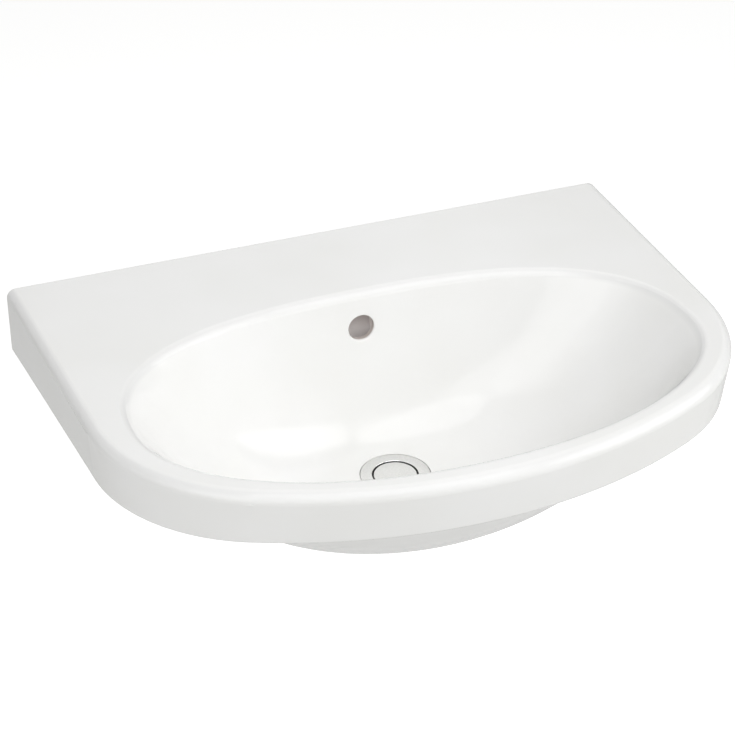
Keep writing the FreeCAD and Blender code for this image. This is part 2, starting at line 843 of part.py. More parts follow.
def make_waste_nut():
    """The flanged hexagon nut that pulls the waste down on its seals."""
    body = new_body("waste_nut")
    hexagon = new_sketch(body, "hexagon_outline", "XY_Plane", NUT_FOOT)
    add_hexagon(hexagon, "waste_nut_width")
    pad(body, hexagon, "hexagon", "waste_nut_height")
    flange = new_sketch(body, "nut_flange_outline", "XY_Plane", NUT_TOP)
    add_circle(flange, "waste_nut_width / sqrt(3) - waste_nut_setback")
    pad(body, flange, "nut_flange", "waste_nut_flange", downwards=True)
    thread = new_sketch(body, "nut_thread_outline", "XY_Plane")
    add_circle(thread, "waste_thread_diameter / 2 + nut_thread_gap")
    cut_through(body, thread, "nut_thread")
    foot_z = value(NUT_FOOT)
    chamfer_edges(
        body, "nut_corner_chamfer", "nut_thread_gap * 20",
        lambda edge, middle: abs(middle.z - foot_z) < 0.01
        and math.hypot(middle.x, middle.y) < value("waste_thread_diameter / 2 + 1"),
    )
    place_on_waste(body)


# ---------------------------------------------------------------- the plug and its latch

def make_plug_cap():
    """The disc that shows in the flange, with the hub that takes the stem."""
    body = new_body("plug_cap")
    radius = "plug_diameter / 2"
    hub = "plug_hub_diameter / 2"
    socket = "stem_spigot_diameter / 2 + running_gap"
    socket_top = f"{HUB_FOOT} + stem_spigot_length + running_gap * 4"
    revolve(body, "disc", [
        ("0", "0"),
        (f"{radius} - plug_chamfer", "0"),
        (radius, "-plug_chamfer"),
        (radius, "-plug_thickness"),
        (hub, "-plug_thickness"),
        (hub, HUB_FOOT),
        (socket, HUB_FOOT),
        (socket, socket_top),
        ("0", socket_top),
    ])
    place_on_waste(body)


def make_plug_seal():
    """The rubber below the disc; its tapered edge closes on the waste's throat."""
    body = new_body("plug_seal")
    outer = "plug_seal_diameter / 2"
    bore = "plug_hub_diameter / 2 + running_gap"
    foot = "(-plug_thickness - plug_seal_thickness)"
    revolve(body, "seal_disc", [
        (bore, "-plug_thickness"),
        (outer, "-plug_thickness"),
        (outer, f"{foot} + plug_seal_thickness / 2"),
        (f"{outer} - plug_seal_taper", foot),
        (bore, foot),
    ])
    place_on_waste(body)


def make_plug_stem():
    """The stem: spigot in the cap, rod through the latch cap, collar, and tail for the cam."""
    body = new_body("plug_stem")
    spigot = "stem_spigot_diameter / 2"
    rod = "stem_diameter / 2"
    collar = "collar_diameter / 2"
    tail = "stem_tail_diameter / 2"
    revolve(body, "turned_stem", [
        ("0", f"{HUB_FOOT} + stem_spigot_length"),
        (spigot, f"{HUB_FOOT} + stem_spigot_length"),
        (spigot, HUB_FOOT),
        (rod, HUB_FOOT),
        (rod, COLLAR_TOP),
        (collar, COLLAR_TOP),
        (collar, COLLAR_FOOT),
        (tail, COLLAR_FOOT),
        (tail, f"{CAM_FOOT} - spring_wire * 2"),
        ("0", f"{CAM_FOOT} - spring_wire * 2"),
    ])
    place_on_waste(body)


def make_latch_cam():
    """The ring under the collar that turns as the plug moves, with notches in its foot."""
    body = new_body("latch_cam")
    outer = "collar_diameter / 2"
    bore = "stem_tail_diameter / 2 + running_gap"
    revolve(body, "cam_ring", [
        (bore, CAM_FOOT), (outer, CAM_FOOT), (outer, COLLAR_FOOT), (bore, COLLAR_FOOT),
    ])
    for role in ("XZ_Plane", "YZ_Plane"):
        notch = new_sketch(body, "notch_" + role[:2], role)
        high = f"{COLLAR_FOOT} + running_gap"
        add_polygon(notch, [
            ("-cam_tooth", high), ("0", f"{COLLAR_FOOT} - cam_tooth"), ("cam_tooth", high),
        ])
        cut_through(body, notch, "cam_notches_" + role[:2])
    place_on_waste(body)


def make_latch_sleeve():
    """The fixed barrel of the latch, standing on the cross bars."""
    body = new_body("latch_sleeve")
    outer = "sleeve_diameter / 2"
    bore = "sleeve_bore / 2"
    thread = "screw_diameter / 2 + running_gap"
    revolve(body, "barrel", [
        (thread, SPIDER_TOP), (outer, SPIDER_TOP), (outer, SLEEVE_TOP),
        (bore, SLEEVE_TOP), (bore, SLEEVE_FLOOR_TOP), (thread, SLEEVE_FLOOR_TOP),
    ])
    place_on_waste(body)


def make_latch_cap():
    """The screw cap that keeps the stem's collar in the sleeve and guides the rod."""
    body = new_body("latch_cap")
    outer = "latch_cap_diameter / 2"
    spigot = "sleeve_bore / 2 - running_gap"
    bore = "stem_diameter / 2 + running_gap"
    revolve(body, "guide", [
        (bore, CAP_FOOT), (spigot, CAP_FOOT), (spigot, SLEEVE_TOP), (outer, SLEEVE_TOP),
        (outer, LATCH_CAP_TOP), (bore, LATCH_CAP_TOP),
    ])
    place_on_waste(body)


def make_latch_spring():
    """The coil spring between the sleeve's floor and the cam."""
    foot = f"({SLEEVE_FLOOR_TOP} + spring_wire / 2 + spring_gap)"
    top = f"({CAM_FOOT} - spring_wire / 2 - spring_gap)"
    radius = "(spring_diameter - spring_wire) / 2"
    spine = doc.addObject("Part::Helix", "spring_line")
    bind(spine, "Height", f"{top} - {foot}")
    bind(spine, "Pitch", f"({top} - {foot}) / spring_turns")
    bind(spine, "Radius", radius)
    bind(spine, "Placement.Base.z", foot)
    wire = doc.addObject("Part::Circle", "spring_wire_section")
    wire.Placement = FreeCAD.Placement(
        FreeCAD.Vector(), FreeCAD.Rotation(FreeCAD.Vector(1, 0, 0), 90)
    )
    bind(wire, "Radius", "spring_wire / 2")
    bind(wire, "Placement.Base.x", radius)
    bind(wire, "Placement.Base.z", foot)
    coil = doc.addObject("Part::Sweep", "latch_spring")
    coil.Label = "latch_spring"
    coil.Sections = [wire]
    coil.Spine = (spine, ["Edge1"])
    coil.Solid = True
    coil.Frenet = True
    place_on_waste(coil)


def make_cartridge_screw():
    """The screw from below that holds the latch sleeve on the cross bars."""
    body = new_body("cartridge_screw")
    shank = "screw_diameter / 2"
    head = "screw_head_diameter / 2"
    head_foot = f"({SPIDER_FOOT} - screw_head_height)"
    revolve(body, "turned_screw", [
        ("0", head_foot), (head, head_foot), (head, SPIDER_FOOT), (shank, SPIDER_FOOT),
        (shank, f"{SLEEVE_FLOOR_TOP} - running_gap"), ("0", f"{SLEEVE_FLOOR_TOP} - running_gap"),
    ])
    recess = new_sketch(body, "driver_recess_outline", "XY_Plane", head_foot)
    add_hexagon(recess, "screw_recess")
    cut_to_depth(body, recess, "driver_recess", "screw_head_height / 2", upwards=True)
    place_on_waste(body)


# ---------------------------------------------------------------- the wall fixings

def make_hanger_bolt(side, name):
    """The stud: screw thread in the wall, machine thread through the basin."""
    body = new_body("hanger_bolt_" + name)
    screw = "stud_diameter / 2"
    machine = "stud_thread_diameter / 2"
    revolve(body, "turned_stud_" + name, [
        ("0", "-stud_in_wall"),
        (screw, "-stud_in_wall + stud_tip"),
        (screw, "0"),
        (machine, "0"),
        (machine, "stud_out_of_wall - stud_chamfer"),
        (f"{machine} - stud_chamfer", "stud_out_of_wall"),
        ("0", "stud_out_of_wall"),
    ])
    place_on_bolt(body, side)


def make_bolt_sleeve(side, name):
    """The plastic bush that keeps the stud off the china."""
    body = new_body("bolt_sleeve_" + name)
    bore = "stud_thread_diameter / 2 + sleeve_wall_gap"
    outer = "bolt_hole_diameter / 2 - sleeve_wall_gap"
    flange = "bolt_sleeve_flange_diameter / 2"
    revolve(body, "bush_" + name, [
        (bore, "0"), (outer, "0"), (outer, "back_wall"), (flange, "back_wall"),
        (flange, SLEEVE_FACE), (bore, SLEEVE_FACE),
    ])
    place_on_bolt(body, side)


def make_bolt_washer(side, name):
    body = new_body("bolt_washer_" + name)
    bore = "stud_thread_diameter / 2 + sleeve_wall_gap"
    outer = "bolt_washer_diameter / 2"
    revolve(body, "disc_" + name, [
        (bore, SLEEVE_FACE), (outer, SLEEVE_FACE), (outer, WASHER_FACE), (bore, WASHER_FACE),
    ])
    place_on_bolt(body, side)


def make_bolt_nut(side, name):
    body = new_body("bolt_nut_" + name)
    hexagon = new_sketch(body, "nut_outline_" + name, "XY_Plane", WASHER_FACE)
    add_hexagon(hexagon, "bolt_nut_width")
    pad(body, hexagon, "nut_" + name, "bolt_nut_height")
    thread = new_sketch(body, "nut_bore_outline_" + name, "XY_Plane")
    add_circle(thread, "stud_thread_diameter / 2 + running_gap")
    cut_through(body, thread, "nut_bore_" + name)
    place_on_bolt(body, side)


def make_nut_cover(side, name):
    """The plastic cap that snaps over the nut and the stud's end."""
    body = new_body("nut_cover_" + name)
    outer = "nut_cover_diameter / 2"
    inner = "nut_cover_diameter / 2 - nut_cover_wall"
    end = "(stud_out_of_wall + nut_cover_end_gap)"
    revolve(body, "cover_" + name, [
        (inner, WASHER_FACE), (outer, WASHER_FACE), (outer, end),
        (f"{inner} - nut_cover_wall", f"{end} + nut_cover_wall"),
        ("0", f"{end} + nut_cover_wall"), ("0", end), (inner, end),
    ])
    place_on_bolt(body, side)


# ---------------------------------------------------------------- the whole part

sheet = fill_sheet()
make_basin()
make_waste_body()
make_ring("flange_seal", "waste_hole_diameter / 2", "flange_diameter / 2 - 1", SEAT, SEAL_TOP)
make_basin_seal()
make_ring(
    "clamp_washer", "waste_thread_diameter / 2 + thread_gap", "clamp_washer_diameter / 2",
    NUT_TOP, WASHER_TOP,
)
make_waste_nut()
make_plug_cap()
make_plug_seal()
make_plug_stem()
make_latch_cam()
make_latch_sleeve()
make_latch_cap()
make_latch_spring()
make_cartridge_screw()
for side, name in ((-1, "left"), (1, "right")):
    make_hanger_bolt(side, name)
    make_bolt_sleeve(side, name)
    make_bolt_washer(side, name)
    make_bolt_nut(side, name)
    make_nut_cover(side, name)
doc.recompute()

for thing in doc.Objects:
    if "Invalid" in thing.State or "Error" in thing.State:
        raise RuntimeError(f"{thing.Label} failed: {thing.State}")
for node in nodes:
    if node.Shape.isNull() or not node.Shape.isValid():
        raise RuntimeError(f"{node.Label} has no valid shape")

os.makedirs(NODE_FOLDER, exist_ok=True)
for node in nodes:
    node.Shape.exportStep(f"{NODE_FOLDER}/{node.Label}.step")
    print(f"{node.Label}: {len(node.Shape.Solids)} solid, {node.Shape.Volume / 1000:.2f} cm3")
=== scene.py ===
import math

import bmesh
import bpy
from mathutils import Matrix, Vector


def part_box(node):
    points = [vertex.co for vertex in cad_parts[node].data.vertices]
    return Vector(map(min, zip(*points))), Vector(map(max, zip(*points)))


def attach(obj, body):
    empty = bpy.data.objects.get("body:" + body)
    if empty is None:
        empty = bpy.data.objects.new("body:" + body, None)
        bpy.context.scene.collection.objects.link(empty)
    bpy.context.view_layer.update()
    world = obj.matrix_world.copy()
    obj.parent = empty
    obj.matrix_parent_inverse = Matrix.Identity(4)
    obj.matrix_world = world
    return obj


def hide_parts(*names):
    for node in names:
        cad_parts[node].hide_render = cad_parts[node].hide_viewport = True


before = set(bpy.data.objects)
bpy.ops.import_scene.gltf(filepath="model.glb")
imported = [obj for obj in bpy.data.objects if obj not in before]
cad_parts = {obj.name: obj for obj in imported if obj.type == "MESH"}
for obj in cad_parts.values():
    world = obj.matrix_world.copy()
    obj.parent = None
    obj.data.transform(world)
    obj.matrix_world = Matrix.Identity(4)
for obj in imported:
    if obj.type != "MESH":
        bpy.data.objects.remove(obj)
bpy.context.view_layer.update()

bl_info = {
    "name": "Wall hung basin",
    "version": (1, 0, 0),
    "blender": (4, 5, 0),
    "location": "3D View > Sidebar > Basin",
    "description": "Glazes a wall hung basin and turns its waste, plug and wall fixings",
    "category": "Object",
}

MM = 0.001
SIDES = ("left", "right")
# Edges that turn by more than this, in degrees, are drawn sharp.
CREASE_ANGLE = 32
THREAD_CREASE_ANGLE = 60
# Points nearer to each other than this, in metres, are one point.
WELD = 1e-7

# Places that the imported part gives: the top of the waste's flange, on its axis, and the
# wall bolts, whose axes cross the wall's face at y = 0.
flange_low, flange_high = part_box("waste_body")
WASTE_PLACE = Vector(
    ((flange_low.x + flange_high.x) / 2, (flange_low.y + flange_high.y) / 2, flange_high.z)
)
WASTE_FRAME = Matrix.Translation(WASTE_PLACE)


def bolt_frame(side):
    """A wall bolt's own frame: its Z points away from the wall."""
    low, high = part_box("hanger_bolt_" + side)
    place = Vector(((low.x + high.x) / 2, 0, (low.z + high.z) / 2))
    return Matrix.Translation(place) @ Matrix.Rotation(math.radians(90), 4, "X")


# ---------------------------------------------------------------- mesh helpers

def settle_order(shape):
    """Sort a bmesh by place, because the operators leave its parts in no fixed order."""
    places = {vert: tuple(round(value, 8) for value in vert.co) for vert in shape.verts}
    for parts, key in (
        (shape.verts, lambda vert: places[vert]),
        (shape.edges, lambda edge: sorted(places[vert] for vert in edge.verts)),
        (shape.faces, lambda face: sorted(places[vert] for vert in face.verts)),
    ):
        ranks = {part: rank for rank, part in enumerate(sorted(parts, key=key))}
        parts.sort(key=ranks.get)
        parts.index_update()


def smooth_to(mesh, shape, crease_angle):
    """Write a bmesh to a mesh, smooth but for edges sharper than the crease angle."""
    limit = math.radians(crease_angle)
    for face in shape.faces:
        face.smooth = True
    for edge in shape.edges:
        edge.smooth = len(edge.link_faces) == 2 and edge.calc_face_angle(0) < limit
    settle_order(shape)
    shape.to_mesh(mesh)
    shape.free()


def finish_mesh(shape, name, crease_angle=CREASE_ANGLE):
    """Turn a bmesh into an object."""
    mesh = bpy.data.meshes.new(name)
    smooth_to(mesh, shape, crease_angle)
    piece = bpy.data.objects.new(name, mesh)
    bpy.context.scene.collection.objects.link(piece)
    return piece


def draw_line(shape, corners, closed):
    """Join (radius, height) corners, in millimetres, into a line in the XZ plane."""
    verts = [shape.verts.new((radius * MM, 0, height * MM)) for radius, height in corners]
    for first, last in zip(verts, verts[1:]):
        shape.edges.new((first, last))
    if closed:
        shape.edges.new((verts[-1], verts[0]))
    return verts


def spin_line(shape, steps):
    """Spin the line in a bmesh once round Z."""
    settle_order(shape)
    bmesh.ops.spin(
        shape, geom=shape.verts[:] + shape.edges[:], cent=(0, 0, 0), axis=(0, 0, 1),
        angle=math.tau, steps=steps, use_merge=True, use_duplicate=False,
    )
    bmesh.ops.remove_doubles(shape, verts=shape.verts[:], dist=WELD)


def turned(name, corners, place, rounding, steps=96, closed=True, rounds=None):
    """Spin a half section about Z.

    Its corners are rounded by `rounding` millimetres, but those whose index is in `rounds`
    by the size given there.
    """
    shape = bmesh.new()
    verts = draw_line(shape, corners, closed)
    sizes = rounds or {}
    for index, vert in enumerate(verts):
        size = sizes.get(index, rounding)
        if size and len(vert.link_edges) == 2:
            bmesh.ops.bevel(
                shape, geom=[vert], offset=size * MM, offset_type="OFFSET",
                affect="VERTICES", segments=3, profile=0.5, material=-1,
            )
    spin_line(shape, steps)
    bmesh.ops.recalc_face_normals(shape, faces=shape.faces[:])
    bmesh.ops.transform(shape, matrix=place, verts=shape.verts[:])
    return finish_mesh(shape, name)


def spaced(first, last, spacing):
    """Heights from first to last, in even steps of about one spacing."""
    count = max(1, round(abs(last - first) / spacing))
    return [first + (last - first) * step / count for step in range(count + 1)]


def threaded(name, corners, place, cut, steps, closed):
    """Spin a half section and cut a helical thread in it.

    `cut` gives the depth to take off, in millimetres, at a radius, a height and a turn
    about Z.
    """
    shape = bmesh.new()
    draw_line(shape, corners, closed)
    spin_line(shape, steps)
    for vert in shape.verts:
        radius = math.hypot(vert.co.x, vert.co.y)
        depth = cut(radius / MM, vert.co.z / MM, math.atan2(vert.co.y, vert.co.x) / math.tau)
        if depth and radius > 1e-6:
            vert.co.xy *= (radius - depth * MM) / radius
    bmesh.ops.recalc_face_normals(shape, faces=shape.faces[:])
    bmesh.ops.transform(shape, matrix=place, verts=shape.verts[:])
    return finish_mesh(shape, name, THREAD_CREASE_ANGLE)


def block(name, size, centre, place):
    """A cutter or a bar, its size and centre in millimetres."""
    shape = bmesh.new()
    bmesh.ops.create_cube(shape, size=MM)
    bmesh.ops.scale(shape, vec=size, verts=shape.verts[:])
    bmesh.ops.translate(shape, vec=Vector(centre) * MM, verts=shape.verts[:])
    bmesh.ops.transform(shape, matrix=place, verts=shape.verts[:])
    return finish_mesh(shape, name)


def hexagon_bar(name, across_flats, foot, top, place):
    """A hexagon along Z that cuts a nut's flats, its sizes in millimetres."""
    shape = bmesh.new()
    radius = across_flats / math.sqrt(3) * MM
    bmesh.ops.create_cone(
        shape, cap_ends=True, segments=6, depth=(top - foot) * MM,
        radius1=radius, radius2=radius,
    )
    bmesh.ops.translate(shape, vec=(0, 0, (top + foot) / 2 * MM), verts=shape.verts[:])
    bmesh.ops.transform(shape, matrix=place, verts=shape.verts[:])
    return finish_mesh(shape, name)


def combine(piece, tool, operation):
    """Join, cut or intersect a piece with a tool, which is used up."""
    step = piece.modifiers.new(operation.lower(), "BOOLEAN")
    step.operation = operation
    step.object = tool
    step.solver = "EXACT"
    bpy.context.view_layer.update()
    result = bpy.data.meshes.new_from_object(
        piece.evaluated_get(bpy.context.evaluated_depsgraph_get())
    )
    piece.modifiers.clear()
    piece.data = result
    bpy.data.objects.remove(tool)
    shape = bmesh.new()
    shape.from_mesh(result)
    bmesh.ops.remove_doubles(shape, verts=shape.verts[:], dist=WELD)
    smooth_to(result, shape, CREASE_ANGLE)


def stands_for(piece, nodes, body, material):
    """Put a finished piece in a node's place, on its body and in its material slot."""
    piece.data.materials.clear()
    piece.data.materials.append(material)
    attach(piece, body)
    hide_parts(*nodes)


def finish_node(node, material):
    """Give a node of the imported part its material."""
    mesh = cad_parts[node].data
    mesh.materials.clear()
    mesh.materials.append(material)


# ---------------------------------------------------------------- material helpers

def linear(hex_colour):
    """An sRGB hex value as linear RGBA."""
    channels = [int(hex_colour[place:place + 2], 16) / 255 for place in (1, 3, 5)]
    return [
        channel / 12.92 if channel <= 0.04045 else ((channel + 0.055) / 1.055) ** 2.4
        for channel in channels
    ] + [1.0]


def add_node(material, kind, settings=None, **links):
    """Add a node; settings are its properties, links its input values or other sockets."""
    tree = material.node_tree
    node = tree.nodes.new(kind)
    for name, setting in (settings or {}).items():
        setattr(node, name, setting)
    for name, source in links.items():
        socket = node.inputs[int(name[1:])] if name[0] == "_" and name[1:].isdigit() else (
            node.inputs[name.replace("_", " ")]
        )
        if isinstance(source, bpy.types.NodeSocket):
            tree.links.new(source, socket)
        else:
            socket.default_value = source
    return node


def new_material(name):
    """An empty material with its object coordinates and its shader."""
    material = bpy.data.materials.new(name)
    material.use_nodes = True
    tree = material.node_tree
    tree.nodes.clear()
    place = add_node(material, "ShaderNodeTexCoord").outputs["Object"]
    shader = add_node(material, "ShaderNodeBsdfPrincipled")
    output = add_node(material, "ShaderNodeOutputMaterial")
    tree.links.new(shader.outputs["BSDF"], output.inputs["Surface"])
    return material, place, shader


def noise(material, place, width_mm, detail, stretch=None):
    """A noise whose lumps are about width_mm wide, stretched along some axes."""
    if stretch:
        place = add_node(
            material, "ShaderNodeMapping", Vector=place, Scale=stretch
        ).outputs["Vector"]
    return add_node(
        material, "ShaderNodeTexNoise", Vector=place, Scale=1 / (width_mm * MM), Detail=detail
    ).outputs["Fac"]


def mapped(material, factor, low, high, from_low=0.3, from_high=0.7):
    """Map a factor to a range. A noise lies between 0.3 and 0.7 nearly everywhere."""
    return add_node(
        material, "ShaderNodeMapRange", Value=factor, From_Min=from_low, From_Max=from_high,
        To_Min=low, To_Max=high,
    ).outputs["Result"]


def zone(material, coordinate, limits):
    """0 on one side of a zone's limits, which are millimetres, and 1 on the other."""
    begins, full = limits
    return mapped(material, coordinate, 0, 1, begins * MM, full * MM)


def product(material, first, second):
    """One factor times another."""
    return add_node(
        material, "ShaderNodeMath", {"operation": "MULTIPLY"}, _0=first, _1=second
    ).outputs[0]


def blended(material, factor, low, high):
    """Mix two colours by a factor; each is a hex value or a socket."""
    low, high = (linear(c) if isinstance(c, str) else c for c in (low, high))
    return add_node(
        material, "ShaderNodeMix", {"data_type": "RGBA"}, _0=factor, _6=low, _7=high
    ).outputs[2]


def bumped(material, height, depth_mm, under=None):
    """A bump as deep as depth_mm, on top of another bump."""
    links = {"Height": height, "Distance": depth_mm * MM}
    if under:
        links["Normal"] = under
    return add_node(material, "ShaderNodeBump", **links).outputs["Normal"]


def apply_to(material, shader, **links):
    """Link or set the shader's own sockets."""
    for name, source in links.items():
        socket = shader.inputs[name.replace("_", " ")]
        if isinstance(source, bpy.types.NodeSocket):
            material.node_tree.links.new(source, socket)
        else:
            socket.default_value = source
    return material


# Zones of the casting's glaze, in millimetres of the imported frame: where each begins, and
# where it is full.
GROUND_FACE = (-0.9, -0.5)          # y: the face on the wall, ground flat after firing
OVERFLOW_REACH = (21, 19)           # distance from the middle of the overflow's duct
BEHIND_BOWL_WALL = (-125.2, -123.6)  # y: just behind the glazed wall of the bowl
# The overflow's painted shade darkens up the duct and into the hole's sides over these zones.
DUCT_TOP = (48, 64)                 # z: from the duct's foot to its top
DUCT_BACK = (-121.5, -118.5)        # y: from the hole's sides to the back of the duct
# The rolled edges between these heights carry a painted shade.
ROLL_FOOT = (88.2, 91.6)            # z: where the rolled edges leave the walls
ROLL_TOP = (94.96, 94.0)            # z: where they meet the flat rim


def glazed_china(settings):
    """Vitreous china under a fired white glaze: glossy, a little wavy, bare on the wall face, with
    painted shade on its rolled edges and inside its overflow.
    """
    material, place, shader = new_material("vitreous_china_white_glaze")
    along = add_node(material, "ShaderNodeSeparateXYZ", Vector=place).outputs
    depth, height = along["Y"], along["Z"]
    cloud = noise(material, place, settings.cloud_width, detail=1.0)
    white = blended(
        material, mapped(material, cloud, 0, 1), settings.shade_hex, settings.white_hex
    )
    # The bare clay is unglazed biscuit: dull, cream and finely speckled.
    bare = zone(material, depth, GROUND_FACE)
    speckle = noise(material, place, width_mm=1.2, detail=4.0)
    biscuit = blended(
        material, mapped(material, speckle, 0, 1), settings.biscuit_hex,
        settings.pale_biscuit_hex,
    )
    # Painted shade inside the overflow: the hole's sides and the top of the duct are a darker
    # brownish grey, and the duct turns lighter towards its foot.
    reach = add_node(
        material, "ShaderNodeVectorMath", {"operation": "DISTANCE"},
        _0=place, _1=settings.overflow_place,
    ).outputs["Value"]
    inside = product(
        material, zone(material, reach, OVERFLOW_REACH), zone(material, depth, BEHIND_BOWL_WALL)
    )
    # Painted shade: darker up the duct towards its top.
    duct = blended(
        material, zone(material, height, DUCT_TOP), settings.duct_hex, settings.hole_shade_hex
    )
    # Painted shade: the hole's sides take the darkest colour.
    overflow_shade = blended(material, zone(material, depth, DUCT_BACK), settings.hole_shade_hex, duct)
    # Painted shade on the rolled edges of the mouth and the apron: a greyer colour there dims the
    # bright band that the lamps light on them.
    edge = product(
        material, zone(material, height, ROLL_FOOT), zone(material, height, ROLL_TOP)
    )
    glaze = blended(
        material, inside, blended(material, edge, white, settings.edge_shade_hex), overflow_shade
    )
    wave = noise(material, place, settings.ripple_width, detail=1.0)
    ripple = bumped(material, wave, settings.ripple_height)
    peel = noise(material, place, width_mm=2.2, detail=2.0)
    return apply_to(
        material, shader,
        Base_Color=blended(material, bare, glaze, biscuit),
        Roughness=mapped(material, bare, settings.roughness, settings.bare_roughness, 0, 1),
        IOR=1.52,
        Normal=bumped(material, peel, depth_mm=0.004, under=ripple),
    )


def chrome_plate():
    """Bright nickel and chrome plate on turned brass, wiped often, so faintly brushed."""
    material, place, shader = new_material("chrome_plated_brass")
    wiped = noise(material, place, width_mm=1.5, detail=5.0)
    grain = noise(material, place, width_mm=0.5, detail=2.0)
    return apply_to(
        material, shader,
        Base_Color=blended(material, mapped(material, wiped, 0, 1), "#DEDEDD", "#E8E8E7"),
        Metallic=1.0,
        Roughness=mapped(material, wiped, low=0.10, high=0.19),
        Normal=bumped(material, grain, depth_mm=0.002),
    )


def turned_metal(name, dark, light, roughness, mark_mm):
    """Metal off the lathe: rings of tool marks, drawn coarser than real so that they show."""
    material, place, shader = new_material(name)
    rings = noise(material, place, mark_mm, detail=1.0, stretch=(0.05, 0.05, 1.0))
    tone = noise(material, place, width_mm=6.0, detail=3.0)
    return apply_to(
        material, shader,
        Base_Color=blended(material, mapped(material, tone, 0, 1), dark, light),
        Metallic=1.0,
        Roughness=mapped(material, rings, roughness - 0.06, roughness + 0.08),
        Normal=bumped(material, rings, depth_mm=0.01),
    )


def zinc_plate():
    """Zinc plated and passivated steel: pale bluish grey with faint blotches."""
    material, place, shader = new_material("zinc_plated_steel")
    blotch = noise(material, place, width_mm=5.0, detail=4.0)
    crystals = noise(material, place, width_mm=0.8, detail=3.0)
    return apply_to(
        material, shader,
        Base_Color=blended(material, mapped(material, blotch, 0, 1), "#A9AEB3", "#C6C9C4"),
        Metallic=1.0,
        Roughness=mapped(material, blotch, low=0.28, high=0.42),
        Normal=bumped(material, crystals, depth_mm=0.006),
    )


def moulded(name, dark, light, roughness, grain_mm, grain_height):
    """A moulded plastic or rubber: one colour with a fine grain from the mould."""
    material, place, shader = new_material(name)
    tone = noise(material, place, width_mm=9.0, detail=2.0)
    grain = noise(material, place, grain_mm, detail=3.0)
    return apply_to(
        material, shader,
        Base_Color=blended(material, mapped(material, tone, 0, 1), dark, light),
        Roughness=mapped(material, grain, roughness - 0.05, roughness + 0.07),
        Normal=bumped(material, grain, grain_height),
    )


# ---------------------------------------------------------------- settings

class GlazeSettings(bpy.types.PropertyGroup):
    """The casting's glaze."""

    white_hex: bpy.props.StringProperty(
        name="White", description="The glaze's colour", default="#F5F5F4")
    shade_hex: bpy.props.StringProperty(
        name="Shade", description="The glaze's colour where it lies thinner", default="#F2F2F0")
    # Edge: painted shade on the rolled edges, greyer than the glaze.
    edge_shade_hex: bpy.props.StringProperty(
        name="Edge", description="The glaze's colour on the rolled edges", default="#ECECEB")
    # Hole: painted shade, the darker brownish grey of the overflow hole's sides and the duct's top.
    hole_shade_hex: bpy.props.StringProperty(
        name="Hole", description="The colour of the overflow hole's sides", default="#C2B7B3")
    # Duct: the light end of the overflow's painted shade, at the duct's foot.
    duct_hex: bpy.props.StringProperty(
        name="Duct", description="The colour at the back of the duct", default="#F7F2F0")
    biscuit_hex: bpy.props.StringProperty(
        name="Biscuit", description="The bare clay's colour", default="#C9C1B2")
    pale_biscuit_hex: bpy.props.StringProperty(
        name="Pale biscuit", description="The colour of the bare clay's specks",
        default="#DDD7CA")
    overflow_place: bpy.props.FloatVectorProperty(
        name="Overflow", description="Middle of the overflow's duct behind its hole",
        default=(0, -0.122, 0.052), subtype="TRANSLATION", unit="LENGTH")
    cloud_width: bpy.props.FloatProperty(
        name="Cloud width", description="Width of the colour's slow change, in mm", default=90.0)
    roughness: bpy.props.FloatProperty(
        name="Roughness", description="How dull the glaze is", default=0.07, min=0, max=1)
    bare_roughness: bpy.props.FloatProperty(
        name="Bare roughness", description="How dull the bare clay is", default=0.85,
        min=0, max=1)
    ripple_width: bpy.props.FloatProperty(
        name="Ripple width", description="Width of the glaze's waves, in mm", default=38.0)
    ripple_height: bpy.props.FloatProperty(
        name="Ripple height", description="Height of the glaze's waves, in mm", default=0.06)


class WasteSettings(bpy.types.PropertyGroup):
    """The waste and its plug."""

    thread_pitch: bpy.props.FloatProperty(
        name="Thread pitch", description="G1 1/4, 11 threads to the inch, in mm", default=2.309)
    thread_depth: bpy.props.FloatProperty(
        name="Thread depth", description="Depth of that thread, in mm", default=1.1)
    plug_dome: bpy.props.FloatProperty(
        name="Plug dome", description="How far the plug's rim lies below its middle, in mm",
        default=0.25)


class FixingSettings(bpy.types.PropertyGroup):
    """The wall bolts."""

    machine_pitch: bpy.props.FloatProperty(
        name="Machine pitch", description="Pitch of the M10 thread, in mm", default=1.5)
    screw_pitch: bpy.props.FloatProperty(
        name="Screw pitch", description="Pitch of the thread in the wall, in mm", default=4.5)
    screw_core: bpy.props.FloatProperty(
        name="Screw core", description="Diameter between those threads, in mm", default=7.0)


class StageSettings(bpy.types.PropertyGroup):
    """Floor, lamps and camera."""

    floor_drop: bpy.props.FloatProperty(
        name="Floor drop", description="Height of the rim above the floor",
        default=0.85, unit="LENGTH")
    dark_end: bpy.props.FloatProperty(
        name="Dark end", description="How bright the room's far right looks in a reflection",
        default=0.15)
    floor_hex: bpy.props.StringProperty(
        name="Floor", description="The floor's colour", default="#BCBCBA")
    floor_seen: bpy.props.FloatProperty(
        name="Floor seen", description="Light that makes the floor look white to the camera",
        default=0.8)
    floor_glow: bpy.props.FloatProperty(
        name="Floor glow", description="Light that the floor itself gives the basin", default=0.316)
    ambient: bpy.props.FloatProperty(
        name="Ambient", description="Strength of the even light from all round", default=0.177)
    camera_yaw: bpy.props.FloatProperty(
        name="Camera yaw", description="Turn of the view to the right",
        default=math.radians(21.68), subtype="ANGLE")
    camera_pitch: bpy.props.FloatProperty(
        name="Camera pitch", description="Tilt of the view below level",
        default=math.radians(31.40), subtype="ANGLE")
    camera_place: bpy.props.FloatVectorProperty(
        name="Camera place", description="Where the camera stands",
        default=(-0.61841, -1.6960, 1.04508), subtype="TRANSLATION", unit="LENGTH")
    focal_pixels: bpy.props.FloatProperty(
        name="Focal length", description="Focal length in pixels of a picture 735 wide",
        default=2125.08)


# ---------------------------------------------------------------- the pieces

